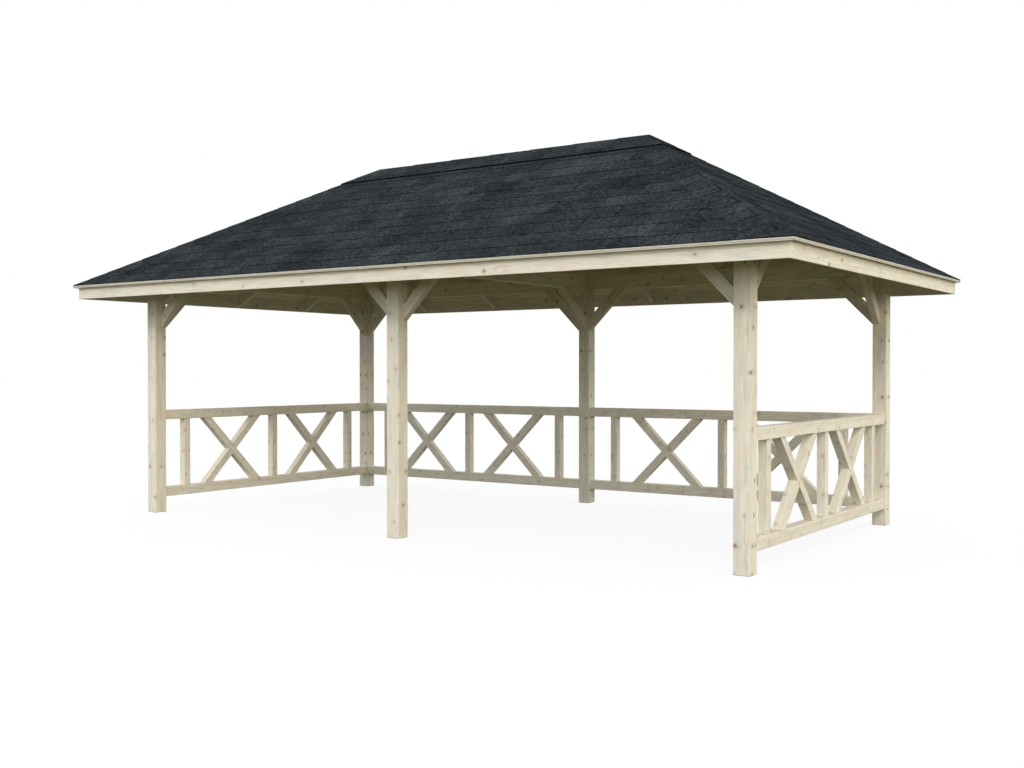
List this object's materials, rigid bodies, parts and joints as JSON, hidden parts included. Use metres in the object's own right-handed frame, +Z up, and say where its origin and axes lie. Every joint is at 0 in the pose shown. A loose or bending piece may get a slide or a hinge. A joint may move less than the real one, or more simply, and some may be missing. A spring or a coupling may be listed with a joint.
{
  "type": "garden gazebo",
  "caption": "Open timber garden gazebo on square posts with crossed-bar railings on three sides, knee braces and a hipped shingle roof.",
  "frame": {"origin": "on the ground, under the middle of the roof, between the two middle posts", "axes": "+X along the length to the right end, +Y to the back, +Z up; the open long side faces -Y"},
  "size_m": [7.082, 4.082, 3.346],
  "materials": {
    "timber": "planed untreated softwood",
    "roof_boards": "planed untreated softwood boards",
    "drip_edge": "thin pale painted edge strip",
    "shingles": "mineral-faced bitumen shingles"
  },
  "bodies": {
    "root": {"braces_back": "timber", "braces_front": "timber", "braces_left": "timber", "braces_middle": "timber", "braces_right": "timber", "deck_back": "roof_boards", "deck_front": "roof_boards", "deck_left": "roof_boards", "deck_right": "roof_boards", "drip_edge": "drip_edge", "fascia_back": "timber", "fascia_front": "timber", "fascia_left": "timber", "fascia_right": "timber", "hip_rafter_back_left": "timber", "hip_rafter_back_right": "timber", "hip_rafter_front_left": "timber", "hip_rafter_front_right": "timber", "plate_back": "timber", "plate_front": "timber", "plate_left": "timber", "plate_right": "timber", "post_back_left": "timber", "post_back_middle": "timber", "post_back_right": "timber", "post_front_left": "timber", "post_front_middle": "timber", "post_front_right": "timber", "rafters_back": "timber", "rafters_front": "timber", "rafters_left": "timber", "rafters_right": "timber", "railing_back_left": "timber", "railing_back_right": "timber", "railing_left": "timber", "railing_right": "timber", "ridge_beam": "timber", "ridge_cap": "shingles", "shingles_back": "shingles", "shingles_front": "shingles", "shingles_left": "shingles", "shingles_right": "shingles", "tie_beam": "timber"}
  },
  "joints": []
}
